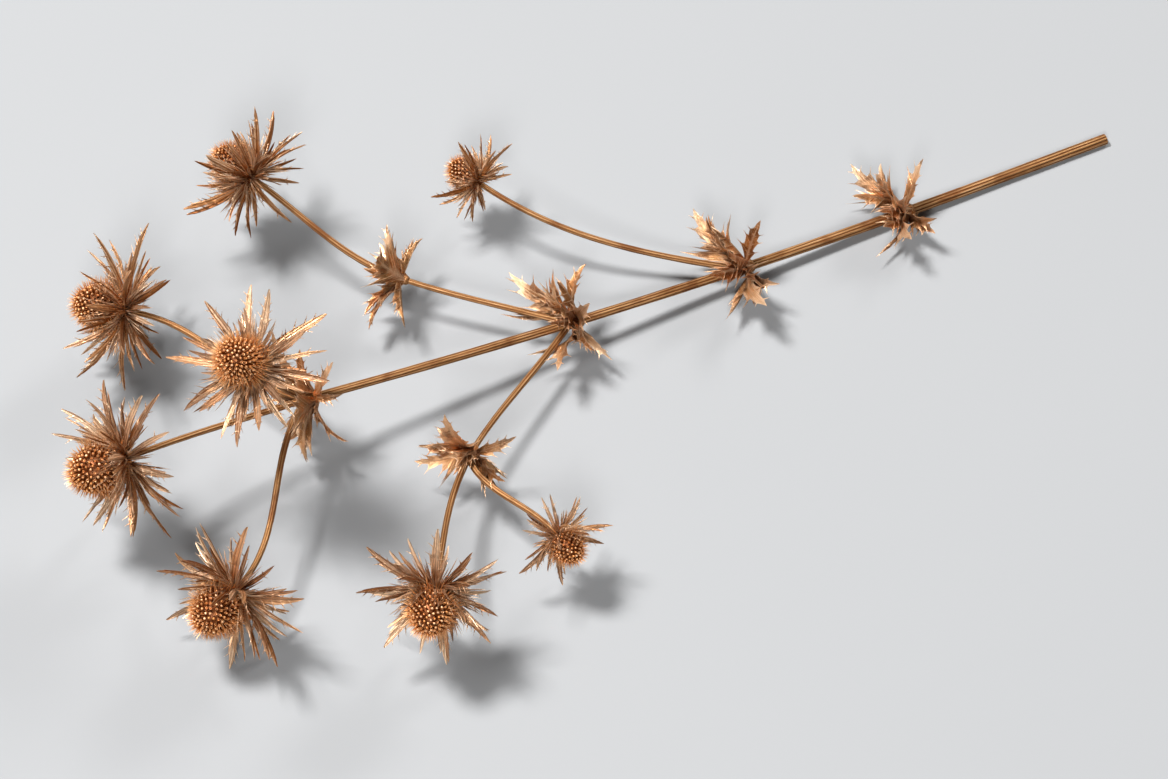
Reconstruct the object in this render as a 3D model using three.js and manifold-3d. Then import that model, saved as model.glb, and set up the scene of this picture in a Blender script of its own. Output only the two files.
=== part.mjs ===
// A cut stem of gilded, dried sea holly, laid on its side.
//
// Millimetres, +Z up. The stem lies along +X, from its cut end to its leading head. One grown piece
// is the stem with its stalks. Each whorl of spiny leaves clasps it in a sheath of its own, and each
// flower head is two pieces: the spiny collar of bracts on its hub, and the dome of florets on that.

import * as THREE from "three";
import { ConvexGeometry } from "three/addons/geometries/ConvexGeometry.js";
import { mergeVertices } from "three/addons/utils/BufferGeometryUtils.js";
import Module from "manifold-3d";

const wasm = await Module();
wasm.setup();

// ---- Driving dimensions ----

const boxCentre = { x: 285.4, y: 3.13 }; // middle of the laid stem's box, from the cut end
const seat = 0.3; // clearance where one piece sits on another
const cutFlat = 0.3; // depth of the flat under the cut end, on which the stem lies
const stemRadii = [2.9, 2.1]; // at the cut end and at the fork
const stalkRadii = [1.75, 1.45];

// Each stalk: where it starts, leaves for, ends and points there, and the size of its head
const cutEnd = [0, 0, stemRadii[0] - cutFlat];
const fork = [448, 2, 41];
const leftFork = [386, 58, 29];
const rightFork = [378, -56, 27];
const joints = { low: 0.26, middle: 0.47, upper: 0.69 }; // shares along the main stem
const middleJoint = { on: "main", share: joints.middle };
const upperJoint = { on: "main", share: joints.upper };
const stalks = {
  main: {
    from: cutEnd, leave: [1, 0, 0],
    to: fork, arrive: [0.985, 0, 0.17],
  },
  leading: {
    from: fork, leave: [1, 0, 0.1],
    to: [540, 8, 58], arrive: [0.98, 0.1, 0.16], head: 1,
  },
  left: {
    from: fork, leave: [0.8, 0.6, 0.05],
    to: [516, 84, 36.22], arrive: [0.85, 0.5, 0.1], head: 0.95,
  },
  right: {
    from: fork, leave: [0.78, -0.62, 0],
    to: [508, -80, 41.62], arrive: [0.84, -0.52, 0.1], head: 0.95,
  },
  upright: {
    from: fork, leave: [0.5, 0.1, 0.85],
    to: [476, 14, 104], arrive: [0.42, 0.1, 0.9], head: 0.9,
  },
  leftArm: {
    ...upperJoint, leave: [0.78, 0.62, 0.1],
    to: leftFork, arrive: [0.74, 0.66, 0.12],
  },
  leftOuter: {
    from: leftFork, leave: [0.7, 0.7, 0.1],
    to: [432, 128, 48], arrive: [0.5, 0.85, 0.16], head: 0.88,
  },
  leftYoung: {
    from: leftFork, leave: [0.1, 0.95, 0.1],
    to: [366, 118, 36], arrive: [-0.2, 0.96, 0.1], head: 0.6,
  },
  rightArm: {
    ...upperJoint, leave: [0.78, -0.62, 0.1],
    to: rightFork, arrive: [0.74, -0.66, 0.12],
  },
  rightOuter: {
    from: rightFork, leave: [0.7, -0.7, 0.1],
    to: [424, -124, 48], arrive: [0.5, -0.85, 0.16], head: 0.86,
  },
  young: {
    ...middleJoint, leave: [0.85, -0.5, 0.1],
    to: [318, -84, 36], arrive: [0.5, -0.85, 0.12], head: 0.62,
  },
};
const handleShare = 0.36; // how far a stalk keeps its first and last direction
const swelling = { share: 0.3, reach: 4 }; // a joint is this much thicker, over this length
const ribs = { main: 5, stalk: 4, depth: 0.16 };

// Whorls of leaves, each below a joint: its stalk, the joint's share along it, the way each leaf
// points round it in degrees, where 90 is up, and how far a leaf to the side turns its face up
const whorls = [
  { name: "leaves_1", on: "main", share: joints.low, leaves: [38, 92, 146], length: 40, twist: 80 },
  { name: "leaves_2", on: "main", share: joints.middle, leaves: [28, 95, 154], length: 42, twist: 80 },
  { name: "leaves_3", on: "main", share: joints.upper, leaves: [16, 92, 168], length: 38, twist: 80 },
  { name: "leaves_4", on: "main", share: 1, leaves: [30, 130, 210, 300], length: 36, twist: 30 },
  { name: "leaves_5", on: "leftArm", share: 1, leaves: [20, 110, 200], length: 32, twist: 30 },
  { name: "leaves_6", on: "rightArm", share: 1, leaves: [-20, 70, 160], length: 32, twist: 60 },
];
const leafRise = { base: 46, tip: 4, scatter: 22 }; // degrees above the whorl's plane
const leafTwist = 40; // scatter of the twist, in degrees
const leafLength = [0.88, 1.08]; // scatter, as shares of the whorl's length
const sheath = { wall: 0.8, height: 4, belowJoint: 4.4 };

// A head of full size. Rises are in degrees, and starts are shares of the hub's radius and height
const hub = { foot: 1.9, top: 5, height: 4.4, flare: 0.6 };
const dome = { radius: 12, halfHeight: 14, taper: 0.12, seated: 0.9, florets: 96, valley: 0.8 };
const bracts = {
  count: 13,
  length: [34, 46],
  thickness: 0.7,
  upper: { start: [0.7, 0.74], rise: [10, 42] }, // every second bract
  lower: { start: [0.7, 0.5], rise: [0, -20] },
  scatter: { rise: 14, twist: 50, spacing: 0.3 },
};
const needles = { count: 10, length: [17, 24], radius: 0.6, start: [0.8, 0.7], rise: [12, 32] };
const young = { below: 0.7, florets: 60, bracts: 9 }; // heads smaller than this have fewer pieces

// Half outlines from the base to the tip, as shares of the blade's length: along, across. The
// teeth of the second side are further along by toothShift
const toothShift = 1.06;
const bractHalf = [
  [0, 0.024],
  [0.28, 0.05],
  [0.47, 0.112],
  [0.445, 0.05],
  [0.68, 0.09],
  [0.655, 0.036],
  [1, 0],
];
const leafHalf = [
  [0, 0.05],
  [0.16, 0.13],
  [0.58, 0.42],
  [0.4, 0.16],
  [0.54, 0.225],
  [0.5, 0.095],
  [0.76, 0.14],
  [0.72, 0.055],
  [1, 0],
];

const gilt = new THREE.MeshStandardMaterial({ color: 0xb08a5a, roughness: 0.45, metalness: 0.6 });
const paleGilt = new THREE.MeshStandardMaterial({ color: 0xd9bd92, roughness: 0.4, metalness: 0.6 });
const copperGilt = new THREE.MeshStandardMaterial({ color: 0xb9763c, roughness: 0.55, metalness: 0.4 });

// ---- Helpers ----

const vector = (p) => new THREE.Vector3(...p);
const lerp = THREE.MathUtils.lerp;
const radians = THREE.MathUtils.degToRad;

// A fixed scatter from 0 to 1 for each whole number
function scatter(n) {
  const s = Math.sin(n * 12.9898) * 43758.5453;
  return s - Math.floor(s);
}

// A closed geometry as a manifold-3d solid
function solid(geometry) {
  const plain = geometry.clone();
  plain.deleteAttribute("normal");
  plain.deleteAttribute("uv");
  const merged = mergeVertices(plain, 1e-4);
  return new wasm.Manifold(
    new wasm.Mesh({
      numProp: 3,
      vertProperties: merged.attributes.position.array,
      triVerts: new Uint32Array(merged.index.array),
    }),
  );
}

// A mesh of the solids joined into one body
function fused(name, solids, material) {
  const joined = solids.reduce((a, b) => a.add(b)).simplify(0.02);
  const mesh = joined.getMesh();
  const geometry = new THREE.BufferGeometry();
  geometry.setAttribute("position", new THREE.BufferAttribute(mesh.vertProperties, 3));
  geometry.setIndex(new THREE.BufferAttribute(mesh.triVerts, 1));
  geometry.computeVertexNormals();
  const made = new THREE.Mesh(geometry, material);
  made.name = name;
  return made;
}

// Moves each vertex of a geometry by a function of its position
function bend(geometry, moved) {
  const position = geometry.attributes.position;
  const p = new THREE.Vector3();
  for (let i = 0; i < position.count; i++) {
    p.fromBufferAttribute(position, i);
    moved(p);
    position.setXYZ(i, p.x, p.y, p.z);
  }
  return geometry;
}

// ---- Stem and stalks ----

function curveOf(name) {
  const { from, on, share, leave, to, arrive } = stalks[name];
  const start = on ? curveOf(on).getPoint(share) : vector(from);
  const end = vector(to);
  const reach = start.distanceTo(end) * handleShare;
  const first = start.clone().addScaledVector(vector(leave).normalize(), reach);
  const last = end.clone().addScaledVector(vector(arrive).normalize(), -reach);
  return new THREE.CubicBezierCurve3(start, first, last, end);
}

// Directions at a share along a curve: to the side, up and forward
function frameAt(curve, share) {
  const forward = curve.getTangent(share);
  const side = new THREE.Vector3(0, 0, 1).cross(forward).normalize();
  const up = forward.clone().cross(side);
  return { point: curve.getPoint(share), side, up, forward };
}

function radiusAt(name, share) {
  const plain = lerp(...(name === "main" ? stemRadii : stalkRadii), share);
  const length = curveOf(name).getLength();
  const jointShares = name === "main" ? [...Object.values(joints), 1] : stalks[name].head ? [] : [1];
  const bumps = jointShares.map((at) => Math.exp(-((((share - at) * length) / swelling.reach) ** 2)));
  return plain * (1 + swelling.share * Math.max(0, ...bumps));
}

// A star-shaped section of radius 1 with a ridge at every second corner, and one of five straight down
function ribbedSection(count) {
  const section = new THREE.Shape();
  for (let i = 0; i < 2 * count; i++) {
    const radius = i % 2 ? 1 - ribs.depth : 1;
    const angle = (Math.PI * (i - 0.5)) / count;
    section[i ? "lineTo" : "moveTo"](radius * Math.cos(angle), radius * Math.sin(angle));
  }
  section.closePath();
  return section;
}

function stalkSolid(name) {
  const curve = curveOf(name);
  const main = name === "main";
  const steps = main ? 30 : 7;
  const section = ribbedSection(main ? ribs.main : ribs.stalk);
  const straight = new THREE.ExtrudeGeometry(section, { depth: 1, steps, bevelEnabled: false });
  bend(straight, (p) => {
    const { point, side, up } = frameAt(curve, p.z);
    const radius = radiusAt(name, p.z);
    const [x, y] = [p.x * radius, p.y * radius];
    p.copy(point).addScaledVector(side, x).addScaledVector(up, y);
  });
  return solid(straight);
}

function stemMesh() {
  const [length, width, depth] = [1000, 200, 20];
  const table = new THREE.BoxGeometry(length, width, depth).translate(length / 3, 0, -depth / 2);
  const whole = Object.keys(stalks).map(stalkSolid);
  const joined = whole.reduce((a, b) => a.add(b)).subtract(solid(table));
  return fused("stem", [joined], gilt);
}

// ---- Blades: bracts and leaves ----

function bladeShape(half, length) {
  const foot = 2; // points at the base, which stay level
  const right = half.map(([along, across]) => [along, -across]);
  const left = half.slice(0, -1).map(([along, across], i) => [along * (i < foot ? 1 : toothShift), across]);
  const points = [...right, ...left.reverse()].map((p) => new THREE.Vector2(...p).multiplyScalar(length));
  return new THREE.Shape(points);
}

// A thin blade that starts at a radius and height round +Z, points outwards at an azimuth, and
// turns evenly from its first rise to its last
function blade(half, length, { radius, height, azimuth, rise, twist = 0 }) {
  const shape = bladeShape(half, length);
  const flat = new THREE.ExtrudeGeometry(shape, { depth: bracts.thickness, bevelEnabled: false });
  const [first, last] = rise.map(radians);
  const turn = (last - first) / length || 1e-6;
  const outwards = new THREE.Vector3(Math.cos(azimuth), Math.sin(azimuth), 0);
  const round = new THREE.Vector3(-outwards.y, outwards.x, 0);
  bend(flat, (p) => {
    const [along, across, lift] = [p.x, p.y, p.z - bracts.thickness / 2];
    const angle = first + turn * along;
    const out = radius + (Math.sin(angle) - Math.sin(first)) / turn;
    const up = height - (Math.cos(angle) - Math.cos(first)) / turn;
    const roll = (twist * along) / length;
    const sideways = across * Math.cos(roll) - lift * Math.sin(roll);
    const normal = across * Math.sin(roll) + lift * Math.cos(roll);
    p.copy(outwards).multiplyScalar(out - normal * Math.sin(angle));
    p.addScaledVector(round, sideways);
    p.z += up + normal * Math.cos(angle);
  });
  return solid(flat);
}

// ---- Flower heads ----

const goldenAngle = Math.PI * (3 - Math.sqrt(5));

function hubSolid(size) {
  const profile = [
    [0, 0],
    [hub.foot, 0],
    [hub.top, hub.height * hub.flare],
    [hub.top, hub.height],
    [0, hub.height],
  ];
  const points = profile.map(([r, z]) => new THREE.Vector2(r * size, z * size));
  return solid(new THREE.LatheGeometry(points, 8).rotateX(Math.PI / 2));
}

const startOnHub = (start, size) => [hub.top * size * start[0], hub.height * size * start[1]];

function needleSolid(size, i) {
  const length = size * lerp(...needles.length, scatter(i + 300));
  const rise = radians(lerp(...needles.rise, scatter(i + 400)));
  const azimuth = goldenAngle * (i + 0.5);
  const [out, up] = startOnHub(needles.start, size);
  const cone = new THREE.ConeGeometry(needles.radius, length, 3, 1);
  cone.rotateZ(-Math.PI / 2).translate(length / 2, 0, 0);
  cone.rotateY(-rise).translate(out, 0, up);
  return solid(cone.rotateZ(azimuth));
}

function collarMesh(name, size, seed) {
  const count = size < young.below ? young.bracts : bracts.count;
  const solids = [hubSolid(size)];
  for (let i = 0; i < count; i++) {
    const { start, rise } = i % 2 ? bracts.lower : bracts.upper;
    const length = size * lerp(...bracts.length, scatter(seed + i));
    const [radius, height] = startOnHub(start, size);
    const sway = bracts.scatter.rise * (scatter(seed + i + 50) - 0.5);
    const place = {
      radius,
      height,
      azimuth: (2 * Math.PI * (i + bracts.scatter.spacing * scatter(seed + i + 100))) / count,
      rise: rise.map((degrees) => degrees + sway),
      twist: radians(bracts.scatter.twist * (scatter(seed + i + 150) - 0.5)),
    };
    solids.push(blade(bractHalf, length, place));
  }
  for (let i = 0; i < needles.count; i++) solids.push(needleSolid(size, seed + i));
  return fused(name, solids, paleGilt);
}

// Florets as pointed cells packed in a spiral: each spiral point is a tip, and the valleys between
// three neighbouring tips are joined round it
function domeMesh(name, size) {
  const count = size < young.below ? young.florets : dome.florets;
  const directions = [];
  for (let i = 0; i < count; i++) {
    const z = 1 - (2 * i + 1) / count;
    const ring = Math.sqrt(1 - z * z);
    const azimuth = i * goldenAngle;
    directions.push(new THREE.Vector3(ring * Math.cos(azimuth), ring * Math.sin(azimuth), z));
  }
  const hull = new ConvexGeometry(directions);
  hull.deleteAttribute("normal");
  const cells = mergeVertices(hull, 1e-4);
  const middle = hub.height + seat / size + dome.halfHeight * dome.seated;
  const onEgg = (d, share) => {
    const radius = dome.radius * (1 - dome.taper * d.z) * share;
    const height = middle + d.z * dome.halfHeight * share;
    return new THREE.Vector3(d.x * radius, d.y * radius, height).multiplyScalar(size);
  };
  const corner = (i) => new THREE.Vector3().fromBufferAttribute(cells.attributes.position, i);
  const triangles = cells.index.array;
  const valleyBeside = new Map(); // by directed edge, the valley of the triangle on its left
  for (let t = 0; t < triangles.length; t += 3) {
    const [a, b, c] = triangles.slice(t, t + 3);
    const centre = corner(a).add(corner(b)).add(corner(c)).normalize();
    const valley = onEgg(centre, dome.valley);
    for (const [from, to] of [[a, b], [b, c], [c, a]]) valleyBeside.set(from + ">" + to, valley);
  }
  const faces = [];
  for (const [edge, left] of valleyBeside) {
    const [from, to] = edge.split(">").map(Number);
    const right = valleyBeside.get(to + ">" + from);
    faces.push(onEgg(corner(from).normalize(), 1), right, left);
  }
  const relief = new THREE.BufferGeometry().setFromPoints(faces);
  const reach = 3 * dome.radius * size;
  const below = new THREE.BoxGeometry(reach, reach, reach);
  below.translate(0, 0, hub.height * size + seat - reach / 2);
  return fused(name, [solid(relief).subtract(solid(below))], copperGilt);
}

function flowerHead(number, stalk) {
  const curve = curveOf(stalk);
  const { point, side, up, forward } = frameAt(curve, 1);
  const head = new THREE.Group();
  head.position.copy(point).addScaledVector(forward, seat);
  head.quaternion.setFromRotationMatrix(new THREE.Matrix4().makeBasis(side, up, forward));
  const size = stalks[stalk].head;
  head.add(collarMesh(`head_${number}_bracts`, size, 1000 * number));
  head.add(domeMesh(`head_${number}_florets`, size));
  return head;
}

// ---- Whorls of leaves ----

function whorl({ name, on, share, leaves, length, twist }) {
  const curve = curveOf(on);
  const half = sheath.height / 2;
  const { point, side, up, forward } = frameAt(curve, share - sheath.belowJoint / curve.getLength());
  const inside = seat + radiusAt(on, share - (sheath.belowJoint - half) / curve.getLength());
  const outside = inside + sheath.wall;
  const ring = [
    [inside, -half],
    [outside, -half],
    [outside, half],
    [inside, half],
    [inside, -half],
  ].map(([r, z]) => new THREE.Vector2(r, z));
  const solids = [solid(new THREE.LatheGeometry(ring, 10).rotateX(Math.PI / 2))];
  leaves.forEach((degrees, i) => {
    const sway = leafRise.scatter * (scatter(degrees) - 0.5);
    const turned = leafTwist * (scatter(degrees + 1) - 0.5);
    const place = {
      radius: inside + sheath.wall / 2,
      height: half * (scatter(i + length) - 0.4),
      azimuth: radians(degrees),
      rise: [leafRise.base + sway, leafRise.tip + 2 * sway],
      twist: radians(turned - twist * Math.cos(radians(degrees))),
    };
    const ownLength = length * lerp(...leafLength, scatter(i + share * 100));
    solids.push(blade(leafHalf, ownLength, place));
  });
  const group = new THREE.Group();
  group.position.copy(point);
  group.quaternion.setFromRotationMatrix(new THREE.Matrix4().makeBasis(side, up, forward));
  group.add(fused(name, solids, gilt));
  return group;
}

// ---- The whole stem ----

const seaHolly = new THREE.Group();
seaHolly.position.set(-boxCentre.x, -boxCentre.y, 0);
seaHolly.add(stemMesh());
Object.keys(stalks)
  .filter((name) => stalks[name].head)
  .forEach((name, i) => seaHolly.add(flowerHead(i + 1, name)));
whorls.forEach((each) => seaHolly.add(whorl(each)));

export default seaHolly;
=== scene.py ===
import math

import bpy
import numpy as np
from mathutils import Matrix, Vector


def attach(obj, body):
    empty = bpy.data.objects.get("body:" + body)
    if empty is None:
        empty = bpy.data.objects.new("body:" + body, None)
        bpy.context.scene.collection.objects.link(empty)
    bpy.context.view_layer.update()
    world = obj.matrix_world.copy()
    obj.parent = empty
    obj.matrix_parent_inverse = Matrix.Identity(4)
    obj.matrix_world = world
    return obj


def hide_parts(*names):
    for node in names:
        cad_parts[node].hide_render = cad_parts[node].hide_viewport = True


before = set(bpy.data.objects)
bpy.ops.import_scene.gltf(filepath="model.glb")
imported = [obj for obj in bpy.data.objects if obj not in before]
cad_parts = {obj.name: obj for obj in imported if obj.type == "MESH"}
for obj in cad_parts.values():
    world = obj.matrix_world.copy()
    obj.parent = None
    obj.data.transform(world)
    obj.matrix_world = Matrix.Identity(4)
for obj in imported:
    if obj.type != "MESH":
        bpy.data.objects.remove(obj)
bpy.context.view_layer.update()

# A cut stem of gilded, dried sea holly, laid on its side on a pale floor. Lengths are millimetres from
# the stem's cut end until a piece is made, which is in metres in the frame.

layout = {
    "boxCentre": (285.4, 3.13, 0.0),  # middle of the stem's box, from its cut end
    "seat": 0.3,  # clearance where one piece sits on another
    "cutFlat": 0.3,  # depth of the flat under the cut end
    "handleShare": 0.36,  # how far a stalk keeps its first and last direction
    "joints": {"low": 0.26, "middle": 0.47, "upper": 0.69},  # shares along the main stem
    "stemRadii": (2.9, 2.1),
    "stalkRadii": (1.75, 1.45),
    "swelling": 0.3,  # share by which a joint is thicker
    "swellingReach": 4.0,
}

cutEnd = (0, 0, layout["stemRadii"][0] - layout["cutFlat"])
fork = (448, 2, 41)
leftFork = (386, 58, 29)
rightFork = (378, -56, 27)
joints = {name: {"on": "main", "share": share} for name, share in layout["joints"].items()}


def stalk(start, leave, end, arrive, head=None):
    # it starts at a place or on another stalk, and leaves and arrives in a direction
    return {"start": start, "leave": leave, "end": end, "arrive": arrive, "head": head}


stalks = {
    "main": stalk(cutEnd, (1, 0, 0), fork, (0.985, 0, 0.17)),
    "leading": stalk(fork, (1, 0, 0.1), (540, 8, 58), (0.98, 0.1, 0.16), head=1),
    "left": stalk(fork, (0.8, 0.6, 0.05), (516, 84, 36.22), (0.85, 0.5, 0.1), head=0.95),
    "right": stalk(fork, (0.78, -0.62, 0), (508, -80, 41.62), (0.84, -0.52, 0.1), head=0.95),
    "upright": stalk(fork, (0.5, 0.1, 0.85), (476, 14, 104), (0.42, 0.1, 0.9), head=0.9),
    "leftArm": stalk(joints["upper"], (0.78, 0.62, 0.1), leftFork, (0.74, 0.66, 0.12)),
    "leftOuter": stalk(leftFork, (0.7, 0.7, 0.1), (432, 128, 48), (0.5, 0.85, 0.16), head=0.88),
    "leftYoung": stalk(leftFork, (0.1, 0.95, 0.1), (366, 118, 36), (-0.2, 0.96, 0.1), head=0.6),
    "rightArm": stalk(joints["upper"], (0.78, -0.62, 0.1), rightFork, (0.74, -0.66, 0.12)),
    "rightOuter": stalk(rightFork, (0.7, -0.7, 0.1), (424, -124, 48), (0.5, -0.85, 0.16), head=0.86),
    "young": stalk(joints["middle"], (0.85, -0.5, 0.1), (318, -84, 36), (0.5, -0.85, 0.12), head=0.62),
}
heads = [name for name in stalks if stalks[name]["head"]]  # whose number is the head's size

goldenAngle = math.pi * (3 - math.sqrt(5))
millimetre = 0.001
sharpEdge = math.radians(50)


def scatter(n):
    # a fixed value from 0 to 1 for each number n: the fraction of 43758.5453 * sin(12.9898 * n). What is
    # added to n makes separate draws
    s = np.sin(np.asarray(n, float) * 12.9898) * 43758.5453
    return s - np.floor(s)


def swing(span, n):
    # span * (scatter - 0.5), which is as often below nought as above it
    return span * (scatter(n) - 0.5)


def between(span, share):
    # first + (last - first) * share, of numbers or of shader values
    return span[0] + (span[1] - span[0]) * share


def unit(v):
    # each vector over its own length
    v = np.asarray(v, float)
    return v / np.linalg.norm(v, axis=-1, keepdims=True)


def turns(count):
    # even angles round one full turn
    return np.linspace(0, 2 * math.pi, count, endpoint=False)


def circles(radius, angle, height):
    # radius * cos(angle), radius * sin(angle) and height
    return np.stack(np.broadcast_arrays(radius * np.cos(angle), radius * np.sin(angle), height), axis=-1)


def handles(name):
    # four Bezier points: both ends, and each end moved along its direction by a share of the distance
    way = stalks[name]
    start, end = way["start"], np.array(way["end"], float)
    if "on" in start:
        start = onStalk(start["on"], [start["share"]])[0][0]
    reach = layout["handleShare"] * np.linalg.norm(end - start)
    return np.array([start, start + unit(way["leave"]) * reach, end - unit(way["arrive"]) * reach, end])


def onStalk(name, shares):
    # points of the cubic Bezier, and at each the directions to the side, up and forward as rows
    p = handles(name)
    t = np.asarray(shares, float)[:, None]
    r = 1 - t
    points = r**3 * p[0] + 3 * r * r * t * p[1] + 3 * r * t * t * p[2] + t**3 * p[3]
    forward = unit(r * r * (p[1] - p[0]) + 2 * r * t * (p[2] - p[1]) + t * t * (p[3] - p[2]))
    side = unit(np.cross((0, 0, 1), forward))
    return points, np.stack([side, np.cross(forward, side), forward], axis=1)


def stalkLength(name):
    # the sum of 200 short steps along the curve
    points = onStalk(name, np.linspace(0, 1, 201))[0]
    return np.linalg.norm(np.diff(points, axis=0), axis=1).sum()


def stalkRadius(name, shares):
    # from the first radius to the last, times 1 + swelling * e^-(distance / reach)^2 near a joint
    isMain = name == "main"
    plain = between(layout["stemRadii"] if isMain else layout["stalkRadii"], np.asarray(shares))
    jointShares = [] if name in heads else [1]
    if isMain:
        jointShares += layout["joints"].values()
    away = [(shares - at) * stalkLength(name) / layout["swellingReach"] for at in jointShares]
    bump = np.max([np.exp(-(a**2)) for a in away] + [np.zeros(len(shares))], axis=0)
    return plain * (1 + layout["swelling"] * bump)


def loftFaces(ringCount, ringSize):
    # faces between rings of points one after another, with a point that closes the first ring and then
    # one that closes the last
    i, j = np.meshgrid(np.arange(ringCount - 1), np.arange(ringSize), indexing="ij")
    k = (j + 1) % ringSize
    quads = np.stack([i * ringSize + j, i * ringSize + k, (i + 1) * ringSize + k, (i + 1) * ringSize + j], -1)
    around = np.arange(ringSize)
    after = (around + 1) % ringSize
    first, last = ringCount * ringSize, ringCount * ringSize + 1
    lastRing = (ringCount - 1) * ringSize
    starts = np.stack([np.full(ringSize, first), after, around], -1)
    ends = np.stack([lastRing + around, lastRing + after, np.full(ringSize, last)], -1)
    return quads.reshape(-1, 4), np.concatenate([starts, ends])


# what the finishes read at each point, besides the three coordinates of its fibres
traitNames = ("along", "edge", "tone", "vein", "under")


def traitTable(size, fibre=(0, 0, 0), **given):
    # a row for each point: the named traits, nought where none is given, then the fibre coordinates
    blank = np.zeros(size)
    columns = [blank + given.get(name, 0) for name in traitNames]
    return np.stack(columns + [blank + f for f in fibre], axis=-1)


def copies(points, quads, tris, traits):
    # many copies of one shape as one: points and traits are (copies, points, columns), and a copy's faces
    # are the first one's, moved on by the points before it
    offset = (np.arange(points.shape[0]) * points.shape[1])[:, None, None]
    return {
        "points": points.reshape(-1, 3),
        "quads": (quads[None] + offset).reshape(-1, 4),
        "tris": (tris[None] + offset).reshape(-1, 3),
        "traits": traits.reshape(-1, traits.shape[-1]),
    }


def joined(shapes):
    # shapes one after another, with their faces moved on in the same way
    offset = np.cumsum([0] + [len(s["points"]) for s in shapes[:-1]])
    return {
        "points": np.concatenate([s["points"] for s in shapes]),
        "quads": np.concatenate([s["quads"] + o for s, o in zip(shapes, offset)]),
        "tris": np.concatenate([s["tris"] + o for s, o in zip(shapes, offset)]),
        "traits": np.concatenate([s["traits"] for s in shapes]),
    }


def placed(shape, origin, basis):
    # origin + x * side + y * up + z * forward
    return {**shape, "points": origin + shape["points"] @ basis}


def makePiece(name, shape, slot, node):
    # the shape as one object at the origin, in metres, none of it under the floor
    points = (shape["points"] - layout["boxCentre"]) * millimetre
    points[:, 2] = np.maximum(points[:, 2], 0)
    mesh = bpy.data.meshes.new(name)
    corners = np.concatenate([shape["quads"].ravel(), shape["tris"].ravel()]).astype(np.int32)
    sizes = np.repeat([4, 3], [len(shape["quads"]), len(shape["tris"])])
    mesh.vertices.add(len(points))
    mesh.vertices.foreach_set("co", points.astype(np.float32).ravel())
    mesh.loops.add(len(corners))
    mesh.loops.foreach_set("vertex_index", corners)
    mesh.polygons.add(len(sizes))
    mesh.polygons.foreach_set("loop_start", (np.cumsum(sizes) - sizes).astype(np.int32))
    mesh.polygons.foreach_set("use_smooth", np.ones(len(sizes), bool))
    traits = shape["traits"].astype(np.float32)
    for column, key in enumerate(traitNames):
        mesh.attributes.new(key, "FLOAT", "POINT").data.foreach_set("value", traits[:, column].copy())
    fibre = mesh.attributes.new("fibre", "FLOAT_VECTOR", "POINT")
    fibre.data.foreach_set("vector", traits[:, len(traitNames):].ravel())
    mesh.update(calc_edges=True)
    mesh.validate()
    mesh.set_sharp_from_angle(angle=sharpEdge)
    mesh.materials.append(finishes[slot])
    piece = bpy.data.objects.new(name, mesh)
    bpy.context.scene.collection.objects.link(piece)
    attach(piece, "root")
    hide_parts(node)
    print(f"{name}: {len(shape['quads']) * 2 + len(shape['tris'])} triangles")


class Wire:
    # an output of a node, on which Python's arithmetic adds Math nodes
    def __init__(self, finish, socket):
        self.finish = finish
        self.socket = socket

    def maths(self, operation, *others, clamp=False):
        settings = {"operation": operation, "use_clamp": clamp}
        return self.finish.add("ShaderNodeMath", settings, dict(enumerate((self, *others))))

    def __add__(self, other):
        return self.maths("ADD", other)

    __radd__ = __add__

    def __mul__(self, other):
        return self.maths("MULTIPLY", other)

    __rmul__ = __mul__

    def __sub__(self, other):
        return self.maths("SUBTRACT", other)

    def __rsub__(self, other):
        return self.finish.add("ShaderNodeMath", {"operation": "SUBTRACT"}, {0: other, 1: self})

    def clamped(self):
        # held between 0 and 1
        return self.maths("ADD", 0.0, clamp=True)

    def redrawn(self):
        # a second draw from the first: the fraction of 37 times it
        return (self * 37).maths("FRACT")

    def steps(self, low, high):
        # 0 under low, 1 over high, and smooth between
        sockets = {"Value": self, "From Min": low, "From Max": high}
        return self.finish.add("ShaderNodeMapRange", {"interpolation_type": "SMOOTHSTEP"}, sockets)


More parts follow.
